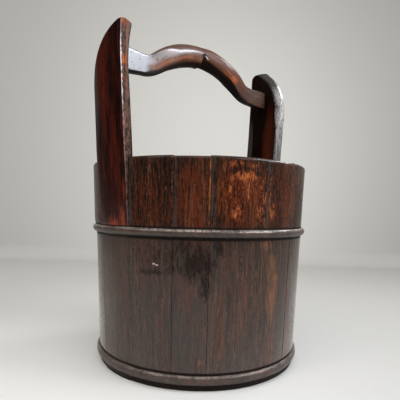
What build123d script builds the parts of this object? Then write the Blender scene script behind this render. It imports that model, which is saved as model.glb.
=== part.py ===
from build123d import *
from math import asin, cos, degrees, radians, sin, sqrt
import os

# A coopered carrying bucket: a ring of staves drawn tight by two hoops, a bottom of
# three boards let into a groove, two tall ear staves, and a carved bow-shaped handle
# whose ends are housed in blind mortises in the ears.
# Millimetres, +Z up. The ears stand at -X (left) and +X (right), the origin is the
# middle of the foot, and every angle is measured about Z from +X.

# Wall of staves
rim_radius = 130.0
foot_radius = 117.6
wall_height = 226.5
wall_thickness = 11.0
rim_round = 3.0
foot_round = 1.5
seam_gap = 0.05  # hairline between neighbouring staves

# Ordinary staves between the ears, in order round the wall: each width is a share of
# the arc that its side fills
front_stave_shares = (22.6, 16.4, 26.7, 19.6, 24.0, 22.2, 23.9)
back_stave_shares = (21.5, 25.0, 20.0, 26.0, 19.5, 24.4, 23.0)

# Ear staves: flush with the wall under the middle hoop, proud and leaning out above it
left_ear_width = 52.4  # across the outer face at the rim
right_ear_width = 55.4
ear_set_forward = 1.15  # degrees that both ears sit towards the front
ear_ledge = 1.6  # step out just above the middle hoop
ear_proud = 5.1  # beyond the wall at the rim
ear_thickness = 12.5  # at the rim
ear_lean_outer = 0.092  # rise of the outer face's radius for each unit of height
ear_lean_inner = 0.102
ear_curl_height = 45.0  # the top stretch whose faces curve
ear_crown_round = 2.0

# Each ear has one straight edge and one rounded shoulder, turned half round from the other
left_ear_rise = 135.0  # crown above the rim
left_shoulder_drop = 64.5  # where the shoulder curve leaves the edge, below the crown
left_crown_flat = 3.0  # flat crown beside the straight edge
left_shoulder_bulge = 13.8
left_shoulder_width = 22.5  # from the ear's middle to the edge under the shoulder
left_curl_out = 1.9  # outer and inner faces move outwards by this over the top stretch
left_curl_in = -3.1
right_ear_rise = 162.5
right_shoulder_drop = 84.0
right_crown_flat = 22.3
right_shoulder_bulge = 12.0
right_shoulder_width = 29.0
right_curl_out = 3.4
right_curl_in = 3.7

# Carved handle
handle_drop = 22.4  # axis of the handle's ends below the left crown
handle_rise = 30.7  # top of the arch's axis above the axis of the ends
handle_arch_reach = 95.2  # from the middle to where the bends run out into the level ends
handle_bend_radius = 35.0
handle_turn = 1.7  # degrees about Z
handle_tilt = 2.0  # degrees, right end up
handle_end_height = 24.6
handle_end_thickness = 9.2
handle_end_round = 1.2
handle_neck_height = 20.6
handle_neck_inset = 6.5  # narrowest place, inwards from the foot of the bend
grip_height = 25.6
grip_thickness = 18.8
grip_round = 7.0
grip_half_length = 43.0
grip_notch_depth = 4.0  # carved nick in the middle of the underside
grip_notch_width = 11.0  # at the surface
tenon_length = 8.0  # beyond the ear's inner face
tenon_shoulder = 1.2  # all round
tenon_clearance = 0.15  # in the mortise, and between shoulder and ear

# Hoops
middle_hoop_height = 147.4  # lower edge above the foot
middle_hoop_width = 8.6
middle_hoop_proud = 4.0
lower_hoop_height = 4.6
lower_hoop_width = 10.0
lower_hoop_proud = 3.2
hoop_clearance = 0.05

# Bottom boards and the groove that holds them
bottom_rise = 24.0
bottom_thickness = 13.0
groove_depth = 3.0
groove_clearance = 0.1
middle_board_width = 84.0

# Four-sided dowels of split bamboo across the seams
dowel_size = 3.6
dowel_length = 16.0
dowel_clearance = 0.1
lower_dowel_height = 78.0
upper_dowel_height = 192.0
bottom_dowel_size = 4.5
bottom_dowel_length = 30.0
bottom_dowel_spread = 110.0  # between the two dowels of one seam

# Worked out from the sizes above
wall_slope = (rim_radius - foot_radius) / wall_height
ear_rim_radius = rim_radius + ear_proud
left_half_angle = degrees(asin(left_ear_width / 2 / ear_rim_radius))
right_half_angle = degrees(asin(right_ear_width / 2 / ear_rim_radius))
left_ear_angle = 180.0 + ear_set_forward
right_ear_angle = 360.0 - ear_set_forward
left_crown = wall_height + left_ear_rise
right_crown = wall_height + right_ear_rise
handle_axis_height = left_crown - handle_drop
handle_arch_radius = (handle_arch_reach**2 + handle_rise**2) / (2 * handle_rise) - handle_bend_radius
seam_half_angle = degrees(seam_gap / 2 / rim_radius)


def outer_radius(height):
    return foot_radius + wall_slope * height


def inner_radius(height):
    return outer_radius(height) - wall_thickness


groove_radius = inner_radius(bottom_rise + bottom_thickness / 2) + groove_depth


def sector(profile, start, end):
    """A profile of radius and height, revolved between two seams."""
    swept = end - start - 2 * seam_half_angle
    solid = revolve(Plane.XZ * profile, Axis.Z, revolution_arc=swept)
    return Rot(0, 0, start + seam_half_angle) * solid


def groove_points():
    """The inner side of the wall from the groove down to the foot."""
    top = bottom_rise + bottom_thickness + groove_clearance
    low = bottom_rise - groove_clearance
    return [
        (inner_radius(top), top),
        (groove_radius, top),
        (groove_radius, low),
        (inner_radius(low), low),
        (inner_radius(0), 0),
    ]


def rounded(profile, heights_and_radii):
    """Round the corners of a profile that lie at the given heights."""
    for height, radius in heights_and_radii:
        corners = profile.vertices().filter_by(lambda v: abs(v.Y - height) < 1e-6)
        profile = fillet(corners, radius)
    return profile


def stave_profile():
    points = [(outer_radius(0), 0), (rim_radius, wall_height), (inner_radius(wall_height), wall_height)]
    profile = make_face(Polyline(*points, *groove_points(), close=True))
    return rounded(profile, [(wall_height, rim_round), (0, foot_round)])


def ear_outer(height):
    return ear_rim_radius + ear_lean_outer * (height - wall_height)


def ear_inner(height):
    return ear_rim_radius - ear_thickness + ear_lean_inner * (height - wall_height)


def ear_crown(crown, curl_out, curl_in):
    """Start of the curl, and the outer and inner ends of the crown, as radius and height."""
    curl = crown - ear_curl_height
    return curl, (ear_outer(curl) + curl_out, crown), (ear_inner(curl) + curl_in, crown)


def ear_profile(crown, curl_out, curl_in):
    ledge = middle_hoop_height + middle_hoop_width + hoop_clearance
    curl, crown_outer, crown_inner = ear_crown(crown, curl_out, curl_in)
    outside = Polyline(
        (outer_radius(0), 0),
        (outer_radius(ledge), ledge),
        (outer_radius(ledge) + ear_ledge, ledge),
        (ear_outer(wall_height), wall_height),
        (ear_outer(curl), curl),
    )
    outer_curl = TangentArc((ear_outer(curl), curl), crown_outer, tangent=(ear_lean_outer, 1))
    top = Line(crown_outer, crown_inner)
    inner_curl = TangentArc((ear_inner(curl), curl), crown_inner, tangent=(ear_lean_inner, 1))
    inside = Polyline(
        (ear_inner(curl), curl),
        (ear_inner(wall_height), wall_height),
        (inner_radius(middle_hoop_height), middle_hoop_height),
        *groove_points(),
        (outer_radius(0), 0),
    )
    profile = make_face([outside, outer_curl, top, inner_curl, inside])
    return rounded(profile, [(crown, ear_crown_round), (0, foot_round)])


def behind_ear_face(crown, curl_out, curl_in, half_angle, angle):
    """The space from just inside an ear's inner face outwards, to scribe the handle's shoulder."""
    curl, crown_outer, crown_inner = ear_crown(crown, curl_out, curl_in)
    face = [(ear_inner(wall_height), wall_height), (ear_inner(curl), curl)]
    inner_curl = TangentArc(face[1], crown_inner, tangent=(ear_lean_inner, 1))
    far = 2 * crown_outer[0]
    frame = Polyline(crown_inner, (far, crown), (far, wall_height), face[0], face[1])
    space = revolve(Plane.XZ * make_face([inner_curl, frame]), Axis.Z, revolution_arc=2 * half_angle)
    inwards = Pos(-tenon_clearance, 0, 0) * Rot(0, 0, -half_angle) * space
    return Rot(0, 0, angle) * inwards


def shoulder_outline(crown, drop, flat, bulge, width, half):
    """The ear seen from inside the bucket, its straight edge on the left, its shoulder on the right."""
    margin = 2 * half  # past the stave on the straight side and below the foot
    lean = ear_lean_outer * (crown - wall_height) / ear_rim_radius
    edge = half * (1 + lean)  # the radial edges spread as the ear leans out
    crest = (flat - edge, crown)
    shoulder = (width, crown - drop)
    curve = SagittaArc(crest, shoulder, bulge)
    frame = Polyline(
        shoulder,
        (half, wall_height),
        (margin, wall_height),
        (margin, -margin),
        (-margin, -margin),
        (-margin, crown),
        crest,
    )
    return make_face([curve, frame])


def tenons(grow):
    """The tenons as one bar from ear to ear, grown by a clearance."""
    width = handle_end_thickness - 2 * tenon_shoulder + 2 * grow
    height = handle_end_height - 2 * tenon_shoulder + 2 * grow
    section = Plane.YZ * Rectangle(width, height)
    return extrude(section, handle_half_length() + grow, both=True)


def make_ear(crown, drop, flat, bulge, width, curl_out, curl_in, half_angle, angle):
    """An ear stave, first made at +X with its straight edge towards +Y."""
    body = sector(ear_profile(crown, curl_out, curl_in), -half_angle, half_angle)
    half = ear_rim_radius * sin(radians(half_angle))
    reach = rim_radius + crown
    inside_view = Plane(origin=(0, 0, 0), x_dir=(0, -1, 0), z_dir=(-1, 0, 0))
    blank = extrude(inside_view * shoulder_outline(crown, drop, flat, bulge, width, half), -reach)
    return Rot(0, 0, angle) * (body & blank)


def handle_axis(x):
    """Height of the handle's axis above its ends, and its slope."""
    reach = abs(x)
    change = handle_arch_reach * handle_arch_radius / (handle_arch_radius + handle_bend_radius)
    side = 1 if x > 0 else -1
    if reach < change:
        height = handle_rise - handle_arch_radius + sqrt(handle_arch_radius**2 - reach**2)
        return height, -side * asin(reach / handle_arch_radius)
    if reach < handle_arch_reach:
        left = handle_arch_reach - reach
        height = handle_bend_radius - sqrt(handle_bend_radius**2 - left**2)
        return height, -side * asin(left / handle_bend_radius)
    return 0.0, 0.0


def eased(low, high, share):
    share = min(max(share, 0.0), 1.0)
    return low + (high - low) * share * share * (3 - 2 * share)


def handle_section(x):
    """Rounded bar section across the handle's axis."""
    neck = handle_arch_reach - handle_neck_inset
    grip = (neck - abs(x)) / (neck - grip_half_length)
    thickness = eased(handle_end_thickness, grip_thickness, grip)
    corner = eased(handle_end_round, grip_round, grip)
    if abs(x) < neck:
        height = eased(handle_neck_height, grip_height, grip)
    else:
        height = eased(handle_neck_height, handle_end_height, (abs(x) - neck) / (block_reach() - neck))
    rise, slope = handle_axis(x)
    plane = Plane(origin=(x, 0, rise), x_dir=(0, 1, 0), z_dir=(cos(slope), 0, sin(slope)))
    return plane * RectangleRounded(thickness, height, corner)


def block_reach():
    """The end blocks are full size from here outwards."""
    return ear_inner(handle_axis_height) - handle_end_height / 2


def handle_half_length():
    return ear_inner(handle_axis_height) + tenon_length


def place_handle(shape):
    return Pos(0, 0, handle_axis_height) * Rot(0, 0, handle_turn) * Rot(0, -handle_tilt, 0) * shape


def make_handle():
    """The carved bar, cut to the ears' faces, with a tenon left standing at each end."""
    neck = handle_arch_reach - handle_neck_inset
    spans = 3  # sections from the grip to the neck, on to the end block, and along the block
    stations = [0.0, grip_half_length / 2, grip_half_length]
    for end in (neck, block_reach(), handle_half_length()):
        start = stations[-1]
        stations += [start + (end - start) * (k + 1) / spans for k in range(spans)]
    stations = [-x for x in reversed(stations[1:])] + stations
    bar = loft([handle_section(x) for x in stations])
    nick = Polyline((-grip_notch_width, -grip_notch_depth), (0, grip_notch_depth),
                    (grip_notch_width, -grip_notch_depth), close=True)
    underside = handle_rise - grip_height / 2
    bar -= Pos(0, 0, underside) * extrude(Plane.XZ * make_face(nick), grip_thickness, both=True)
    bar = place_handle(bar)
    bar -= behind_ear_face(left_crown, left_curl_out, left_curl_in, left_half_angle, left_ear_angle)
    bar -= behind_ear_face(right_crown, right_curl_out, right_curl_in, right_half_angle, right_ear_angle)
    full = place_handle(tenons(0))
    inner = place_handle(Box(2 * handle_arch_reach, grip_thickness, handle_end_height))
    for tenon in (full - inner).solids():
        bar += tenon
    return bar


def make_hoop(height, width, proud):
    """A half-round band lying on the tapered wall."""
    low = (outer_radius(height) + hoop_clearance, height)
    high = (outer_radius(height + width) + hoop_clearance, height + width)
    belly = ((low[0] + high[0]) / 2 + proud, height + width / 2)
    profile = make_face([Line(low, high), ThreePointArc(high, belly, low)])
    return revolve(Plane.XZ * profile, Axis.Z)


def seam_dowel(angle, height, size, length):
    """A dowel through the middle of the wall, square to the seam at this angle."""
    middle = outer_radius(height) - wall_thickness / 2
    turn = radians(angle)
    across = Plane(origin=(middle * cos(turn), middle * sin(turn), height), z_dir=(-sin(turn), cos(turn), 0))
    return across * Box(size, size, length)


def doweled(stave, seams):
    """Mortise a stave for the dowels in both of its seams."""
    room = 2 * dowel_clearance
    for angle in seams:
        for height in (lower_dowel_height, upper_dowel_height):
            stave -= seam_dowel(angle, height, dowel_size + room, dowel_length + room)
    return stave


def side_seams(start, end, shares):
    """Angles of the seams along one side, both ears' edges included."""
    unit = (end - start) / sum(shares)
    return [start + unit * sum(shares[:k]) for k in range(len(shares) + 1)]


def bottom_board(low, high):
    """One board of the round bottom, lying along X between two lines across Y."""
    disc = Cylinder(groove_radius - groove_clearance, bottom_thickness)
    strip = Pos(0, (low + high) / 2, 0) * Box(2 * rim_radius, high - low - seam_gap, bottom_thickness)
    return Pos(0, 0, bottom_rise + bottom_thickness / 2) * (disc & strip)


def bottom_dowels(size, length):
    """The dowels across both seams of the bottom."""
    height = bottom_rise + bottom_thickness / 2
    dowel = Box(size, length, size)
    spots = [(x, y) for x in (-bottom_dowel_spread / 2, bottom_dowel_spread / 2)
             for y in (-middle_board_width / 2, middle_board_width / 2)]
    return [Pos(x, y, height) * dowel for x, y in spots]


def build_parts():
    parts = {}
    left_edges = (left_ear_angle - left_half_angle, left_ear_angle + left_half_angle)
    right_edges = (right_ear_angle - right_half_angle, right_ear_angle + right_half_angle)
    front = side_seams(left_edges[1], right_edges[0], front_stave_shares)
    back = side_seams(right_edges[1], left_edges[0] + 360, back_stave_shares)
    profile = stave_profile()
    for side, seams in (("front", front), ("back", back)):
        for k, (start, end) in enumerate(zip(seams, seams[1:]), 1):
            parts[f"{side}_stave_{k}"] = doweled(sector(profile, start, end), (start, end))

    mortises = place_handle(tenons(tenon_clearance))
    left_ear = make_ear(left_crown, left_shoulder_drop, left_crown_flat, left_shoulder_bulge,
                        left_shoulder_width, left_curl_out, left_curl_in, left_half_angle, left_ear_angle)
    right_ear = make_ear(right_crown, right_shoulder_drop, right_crown_flat, right_shoulder_bulge,
                         right_shoulder_width, right_curl_out, right_curl_in, right_half_angle,
                         right_ear_angle)
    parts["left_ear_stave"] = doweled(left_ear, (front[0], back[-1])) - mortises
    parts["right_ear_stave"] = doweled(right_ear, (front[-1], back[0])) - mortises
    parts["carved_handle"] = make_handle()

    parts["middle_hoop"] = make_hoop(middle_hoop_height, middle_hoop_width, middle_hoop_proud)
    parts["lower_hoop"] = make_hoop(lower_hoop_height, lower_hoop_width, lower_hoop_proud)

    seam = middle_board_width / 2
    room = 2 * dowel_clearance
    mortised = bottom_dowels(bottom_dowel_size + room, bottom_dowel_length + room)
    for name, low, high in (("front", -groove_radius, -seam), ("middle", -seam, seam),
                            ("back", seam, groove_radius)):
        parts[f"{name}_bottom_board"] = bottom_board(low, high) - mortised

    seam_angles = front + back
    for name, height in (("lower", lower_dowel_height), ("upper", upper_dowel_height)):
        dowels = [seam_dowel(angle, height, dowel_size, dowel_length) for angle in seam_angles]
        parts[f"{name}_stave_dowels"] = Compound(children=dowels)
    parts["bottom_board_dowels"] = Compound(children=bottom_dowels(bottom_dowel_size, bottom_dowel_length))
    return parts


os.makedirs("parts", exist_ok=True)
for node, shape in build_parts().items():
    export_step(shape, f"parts/{node}.step")
    print(node, round(shape.volume, 1))
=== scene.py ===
import bmesh
import bpy
from math import asin, cos, exp, pi, radians, sin, sqrt
from mathutils import Matrix, Vector, noise


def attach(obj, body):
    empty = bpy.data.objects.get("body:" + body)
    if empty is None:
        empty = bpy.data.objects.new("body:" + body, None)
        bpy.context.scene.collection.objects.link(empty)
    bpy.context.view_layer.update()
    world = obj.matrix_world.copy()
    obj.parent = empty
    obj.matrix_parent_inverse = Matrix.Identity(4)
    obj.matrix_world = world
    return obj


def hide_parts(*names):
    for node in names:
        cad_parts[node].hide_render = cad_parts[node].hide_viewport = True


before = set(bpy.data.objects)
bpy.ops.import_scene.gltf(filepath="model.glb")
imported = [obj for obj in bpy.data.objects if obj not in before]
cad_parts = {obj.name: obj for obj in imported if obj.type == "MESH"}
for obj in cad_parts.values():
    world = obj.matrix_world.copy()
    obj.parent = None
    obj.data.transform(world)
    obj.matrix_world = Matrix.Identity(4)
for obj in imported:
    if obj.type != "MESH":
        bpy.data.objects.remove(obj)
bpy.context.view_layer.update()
scene = bpy.context.scene
scene.view_settings.view_transform = "Standard"
mm = 0.001  # the sizes below are in millimetres
perMetre = 1000.0
print("frame loaded:", len(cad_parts), "nodes")


# camera, as the photograph was taken
photoCamera = {
    "distance": 0.48642, "height": 0.17430, "heading": 46.2, "yaw": -0.0131, "pitch": 0.0269, "roll": 0.0223,
    "focal": 379.41, "slideX": 6.0, "slideY": -0.24, "frame": 400, "sensor": 36.0,
}


def toObject(v):  # right, forward and up as the camera stands, turned into the object's frame
    turn = radians(photoCamera["heading"])
    return Vector((sin(turn) * v[0] + cos(turn) * v[1], -cos(turn) * v[0] + sin(turn) * v[1], v[2]))


def addCamera(s):
    forward = Vector((sin(s["yaw"]) * cos(s["pitch"]), cos(s["yaw"]) * cos(s["pitch"]), sin(s["pitch"])))
    level = Vector((cos(s["yaw"]), -sin(s["yaw"]), 0))
    upright = level.cross(forward)
    right = cos(s["roll"]) * level + sin(s["roll"]) * upright
    up = -sin(s["roll"]) * level + cos(s["roll"]) * upright
    axes = [toObject(right), toObject(up), toObject(-forward)]
    data = bpy.data.cameras.new("photo_camera")
    data.sensor_width = s["sensor"]
    data.lens = s["focal"] / s["frame"] * s["sensor"]
    data.shift_x = s["slideX"] / s["frame"]
    data.shift_y = s["slideY"] / s["frame"]
    camera = bpy.data.objects.new("photo_camera", data)
    scene.collection.objects.link(camera)
    place = toObject((0, -s["distance"], s["height"]))
    camera.matrix_world = Matrix.Translation(place) @ Matrix(axes).transposed().to_4x4()
    scene.camera = camera


addCamera(photoCamera)
print("camera placed")


# node maths written as expressions
class Wire:
    def __init__(self, bench, socket):
        self.bench = bench
        self.socket = socket

    def join(self, operation, other, swapped=False):
        first, second = (other, self) if swapped else (self, other)
        return self.bench.maths(operation, first, second)

    def __add__(self, other):
        return self.join("ADD", other)

    def __radd__(self, other):
        return self.join("ADD", other, True)

    def __sub__(self, other):
        return self.join("SUBTRACT", other)

    def __rsub__(self, other):
        return self.join("SUBTRACT", other, True)

    def __mul__(self, other):
        return self.join("MULTIPLY", other)

    def __rmul__(self, other):
        return self.join("MULTIPLY", other, True)

    def __truediv__(self, other):
        return self.join("DIVIDE", other)

    def __rtruediv__(self, other):
        return self.join("DIVIDE", other, True)

    def __abs__(self):
        return self.bench.maths("ABSOLUTE", self)


class Bench:
    def __init__(self, tree):
        self.tree = tree

    def add(self, kind, settings=None, inputs=None, output=0):
        node = self.tree.nodes.new(kind)
        for name, value in (settings or {}).items():
            setattr(node, name, value)
        for key, value in (inputs or {}).items():
            if isinstance(value, Wire):
                self.tree.links.new(value.socket, node.inputs[key])
            else:
                node.inputs[key].default_value = value
        return Wire(self, node.outputs[output]) if output is not None else None

    def maths(self, operation, first, second=0.0):
        return self.add("ShaderNodeMath", {"operation": operation}, {0: first, 1: second})

    def larger(self, first, *others):
        for other in others:
            first = self.maths("MAXIMUM", first, other)
        return first

    def smooth(self, value, low, high):
        return self.add("ShaderNodeMapRange", {"interpolation_type": "SMOOTHSTEP"},
                        {"Value": value, "From Min": low, "From Max": high})

    def blend(self, factor, first, second):
        return self.add("ShaderNodeMix", {"data_type": "RGBA"}, {0: factor, 6: first, 7: second}, 2)

    def coats(self, base, look, layers):  # each layer is a mask and the name of its colour
        for mask, name in layers:
            base = self.blend(mask, base, look[name])
        return base

    def place(self):  # where a point is in the object's frame, in metres
        return self.add("ShaderNodeTexCoord", None, None, "Object")

    def stored(self, name):
        return self.add("ShaderNodeAttribute", {"attribute_name": name}, None, "Fac")

    def parts(self, vector):
        node = self.add("ShaderNodeSeparateXYZ", None, {0: vector}).socket.node
        return [Wire(self, socket) for socket in node.outputs]

    def vector(self, x, y, z):
        return self.add("ShaderNodeCombineXYZ", None, {0: x, 1: y, 2: z})

    def noise(self, vector, scale, detail=3.0, roughness=0.55, distortion=0.0):
        return self.add("ShaderNodeTexNoise", None, {"Vector": vector, "Scale": scale, "Detail": detail,
                                                     "Roughness": roughness, "Distortion": distortion})


def colour(red, green, blue):
    return (red, green, blue, 1.0)


def newMaterial(name):
    material = bpy.data.materials.new(name)
    material.use_nodes = True
    material.node_tree.nodes.clear()
    return material, Bench(material.node_tree)


def finishMaterial(bench, sockets, height=None, bumpStrength=0.3, bumpDistance=0.3):
    inputs = dict(sockets)
    if height is not None:
        inputs["Normal"] = bench.add("ShaderNodeBump", None, {"Strength": bumpStrength, "Distance": bumpDistance * mm,
                                                              "Height": height})
    shader = bench.add("ShaderNodeBsdfPrincipled", None, inputs)
    bench.add("ShaderNodeOutputMaterial", None, {"Surface": shader}, None)


# stage: pale floor and wall with painted light and shade in their colours, a window-like soft light from the right,
# dark cloths towards the room
studio = {
    "wallBehind": 0.79, "coveRadius": 0.05, "halfWidth": 1.5, "towardsCamera": 1.1, "wallTop": 2.2,
    "floorLitFront": colour(0.73, 0.725, 0.71), "floorShadedBack": colour(0.60, 0.592, 0.57),
    "floorShadedRight": colour(0.49, 0.483, 0.467),
    "wallPoolOfLight": colour(0.82, 0.81, 0.775), "wallShadedLeft": colour(0.58, 0.572, 0.548),
    "wallShadedRight": colour(0.49, 0.483, 0.46),
    "wallMiddle": (0.08, 0.27), "wallSpread": 0.85, "wallTall": 0.64,
    "clothRadius": 1.45, "clothHeight": 1.25, "clothFrom": 138.0, "clothTo": 298.0,
    "cloth": colour(0.035, 0.033, 0.032), "roomColour": colour(0.80, 0.79, 0.765), "roomStrength": 0.60,
}
softLights = {  # places are right, forward and up from the bucket's foot, in metres
    "window_light": {"place": (1.06, -0.64, 0.80), "aim": (0.0, 0.0, 0.26), "size": (1.0, 0.26), "power": 6.2,
                     "tint": (0.90, 0.94, 1.0), "spread": 180.0},
    "strip_light": {"place": (0.97, -0.22, 0.95), "aim": (0.0, 0.0, 0.36), "size": (0.56, 0.17), "power": 1.9,
                    "tint": (0.92, 0.95, 1.0), "spread": 90.0},
    "side_light": {"place": (0.84, 0.60, 1.02), "aim": (0.13, 0.0, 0.34), "size": (0.42, 0.30), "power": 0.65,
                   "tint": (0.95, 0.97, 1.0), "spread": 60.0},
    "sky_light": {"place": (-0.18, -0.72, 1.35), "aim": (-0.12, -0.12, 0.0), "size": (1.4, 1.1), "power": 6.4,
                  "tint": (1.0, 0.98, 0.95), "spread": 140.0},
    "fill_light": {"place": (-0.75, -0.62, 0.62), "aim": (-0.16, -0.05, 0.0), "size": (0.35, 0.35), "power": 0.15,
                   "tint": (1.0, 0.98, 0.95), "spread": 35.0},
}


def stageMaterial(s):
    material, bench = newMaterial("studio_paper")
    place = bench.place()
    x, y, z = bench.parts(place)
    side = toObject((1, 0, 0))
    across = x * side.x + y * side.y - s["wallMiddle"][0]
    rise = (z - s["wallMiddle"][1]) * s["wallTall"]
    away = bench.maths("SQRT", across * across + rise * rise) / s["wallSpread"]
    # painted light: a pool of light painted on the wall round its middle, fading to darker sides
    sides = bench.blend(bench.smooth(across, -0.5, 0.5), s["wallShadedLeft"], s["wallShadedRight"])
    wall = bench.blend(bench.smooth(away, 0.0, 1.0), s["wallPoolOfLight"], sides)
    ahead = toObject((0, 1, 0))
    # painted shade: the floor is painted darker towards the right and towards the back
    floor = bench.blend(bench.smooth(across, -0.2, 0.35), s["floorLitFront"], s["floorShadedRight"])
    floor = bench.blend(bench.smooth(x * ahead.x + y * ahead.y, -0.15, 0.45), floor, s["floorShadedBack"])
    paper = bench.blend(bench.smooth(z, 0.0, 0.06), floor, wall)
    grain = bench.noise(place, 40.0, 2.0)
    finishMaterial(bench, {"Base Color": paper, "Roughness": 0.55 + 0.1 * grain, "Specular IOR Level": 0.2})
    return material


def stageSheet(name, profile, material):  # a sheet between pairs of points
    verts = [toObject(point) for pair in profile for point in pair]
    faces = [(2 * k, 2 * k + 1, 2 * k + 3, 2 * k + 2) for k in range(len(profile) - 1)]
    mesh = bpy.data.meshes.new(name)
    mesh.from_pydata(verts, [], faces)
    mesh.polygons.foreach_set("use_smooth", [True] * len(faces))
    mesh.materials.append(material)
    sheet = bpy.data.objects.new(name, mesh)
    scene.collection.objects.link(sheet)
    return sheet


def addStage(s):
    steps, panels = 12, 24
    profile = [(-s["towardsCamera"], 0.0)]
    for k in range(steps + 1):
        turn = k / steps * pi / 2
        profile.append((s["wallBehind"] - s["coveRadius"] * (1 - sin(turn)), s["coveRadius"] * (1 - cos(turn))))
    profile.append((s["wallBehind"], s["wallTop"]))
    wide = s["halfWidth"]
    stageSheet("studio_sweep", [((-wide, ahead, up), (wide, ahead, up)) for ahead, up in profile], stageMaterial(s))
    cloth, bench = newMaterial("dark_cloth")
    weave = bench.noise(bench.place(), 300.0, 2.0)
    finishMaterial(bench, {"Base Color": s["cloth"], "Roughness": 0.85 + 0.1 * weave})
    ring = []
    for k in range(panels + 1):
        turn = radians(s["clothFrom"] + (s["clothTo"] - s["clothFrom"]) * k / panels)
        right, ahead = s["clothRadius"] * sin(turn), s["clothRadius"] * cos(turn)
        ring.append(((right, ahead, 0.0), (right, ahead, s["clothHeight"])))
    screen = stageSheet("dark_cloth", ring, cloth)  # only darkens what the lacquer mirrors
    screen.visible_camera = screen.visible_diffuse = screen.visible_shadow = False


def addSoftLight(name, s):
    data = bpy.data.lights.new(name, "AREA")
    data.shape = "RECTANGLE"
    data.size, data.size_y = s["size"]
    data.energy = s["power"]
    data.color = s["tint"]
    data.spread = radians(s["spread"])
    light = bpy.data.objects.new(name, data)
    scene.collection.objects.link(light)
    start, end = toObject(s["place"]), toObject(s["aim"])
    light.matrix_world = Matrix.Translation(start) @ (start - end).to_track_quat("Z", "Y").to_matrix().to_4x4()


def addWorld(s):
    world = bpy.data.worlds.new("room")
    world.use_nodes = True
    world.node_tree.nodes.clear()
    bench = Bench(world.node_tree)
    glow = bench.add("ShaderNodeBackground", None, {"Color": s["roomColour"], "Strength": s["roomStrength"]})
    bench.add("ShaderNodeOutputWorld", None, {"Surface": glow}, None)
    scene.world = world


addStage(studio)
for lightName, lightSetting in softLights.items():
    addSoftLight(lightName, lightSetting)
addWorld(studio)
print("stage and lights set")


# the bucket's shared sizes
bucket = {"rimRadius": 130.0, "footRadius": 117.6, "wallHeight": 226.5, "wallThickness": 11.0}


def wallRadius(height):
    return bucket["footRadius"] + (bucket["rimRadius"] - bucket["footRadius"]) * height / bucket["wallHeight"]


def addPiece(node, mesh):  # stands in for the solid of that name
    piece = bpy.data.objects.new(node + "_shown", mesh)
    scene.collection.objects.link(piece)
    mesh.polygons.foreach_set("use_smooth", [True] * len(mesh.polygons))
    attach(piece, "root")
    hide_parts(node)


def markMesh(mesh, values):
    for name, numbers in values.items():
        mesh.attributes.new(name, "FLOAT", "POINT").data.foreach_set("value", numbers)


def roundedDrop(distance, radius):  # how far a face falls back near a rounded edge
    inside = max(radius - distance, 0.0)
    return radius - sqrt(max(radius * radius - inside * inside, 0.0))


def eased(low, high, share):
    share = min(max(share, 0.0), 1.0)
    return low + (high - low) * share * share * (3 - 2 * share)


# lacquered wood
lacquerLook = {
    "ink": colour(0.009, 0.006, 0.005), "brown": colour(0.052, 0.021, 0.011), "red": colour(0.110, 0.020, 0.006),
    "rust": colour(0.24, 0.058, 0.018), "worn": colour(0.44, 0.130, 0.030), "tan": colour(0.20, 0.088, 0.042),
    "soot": colour(0.020, 0.012, 0.009), "plum": colour(0.062, 0.036, 0.027), "grey": colour(0.058, 0.050, 0.046),
    "pale": colour(0.42, 0.35, 0.32), "line": colour(0.17, 0.088, 0.058), "highlightWhite": colour(0.85, 0.83, 0.84),
    "warmth": colour(1.0, 0.955, 0.91),
    # heights and distances in mm, angles in degrees: where a change starts and where it is full
    "darkJointsAndShade": [(-2.0, 7.0), (14.5, 17.0), (145.4, 149.0), (155.0, 157.2)], "shadeBandFade": (1.0, 1.2),
    "upperFrom": (135.0, 165.0), "rimFrom": (221.0, 225.0), "keptEdge": (6.0, 3.0), "rubbedEdge": (1.6, 0.5),
    "seamEdge": (0.6, 0.1), "glossFrom": (214.0, 236.0), "glossTo": (280.0, 262.0),
}
grainShapes = {  # how much it is drawn out upwards, scale per mm, detail, roughness
    "fibre": (0.018, 0.36, 4.0, 0.8), "hair": (0.05, 0.8, 3.0, 0.7), "mottle": (0.5, 0.24, 6.0, 0.8),
    "speck": (0.35, 0.7, 3.0, 0.75), "broad": (0.2, 0.05, 3.0, 0.6), "stripe": (0.012, 0.12, 3.0, 0.65),
    "line": (0.012, 0.19, 1.0, 0.5),
}
grainMove = {"across": 310.0, "deep": 170.0, "warp": 0.15}  # mm for one whole shift, and how far the noise bends


def woodGrain(bench, shift):  # solid grain: long fibres up the wood, short hairs, mottles and specks
    x, y, z = bench.parts(bench.place())
    across, deep = x * perMetre + shift * grainMove["across"], y * perMetre + shift * grainMove["deep"]
    up = z * perMetre
    grain = {}
    for name, (drawn, scale, detail, rough) in grainShapes.items():
        place = bench.vector(across, deep, up * drawn)
        grain[name] = bench.noise(place, scale, detail, rough, grainMove["warp"]) - 0.5
    return grain, up


def wallTurn(bench):  # degrees round the bucket, from 0 to 360
    x, y = bench.parts(bench.place())[:2]
    turn = bench.maths("ARCTAN2", y, x) * (180.0 / pi)
    return turn + bench.maths("LESS_THAN", turn, 0.0) * 360.0


def markMask(bench, across, up, mark):  # its strength in the middle of the mark, 0 from its edge on
    at, high, wide, tall, amount = mark
    ovalX = (across - at) / wide
    ovalZ = (up - high) / tall
    return bench.larger(amount - (ovalX * ovalX + ovalZ * ovalZ) * amount, 0.0)


def strongestMark(bench, across, up, marks):
    return bench.larger(*(markMask(bench, across, up, mark) for mark in marks))


def paintedShadeBands(bench, up, hoopShadeBands, fade):  # painted shade: dark bands beside the hoops, and the dark foot below the lower hoop
    return bench.larger(*(bench.smooth(up, start - fade[0], start) * bench.smooth(up, end + fade[1], end)
                          for start, end in hoopShadeBands))


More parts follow.
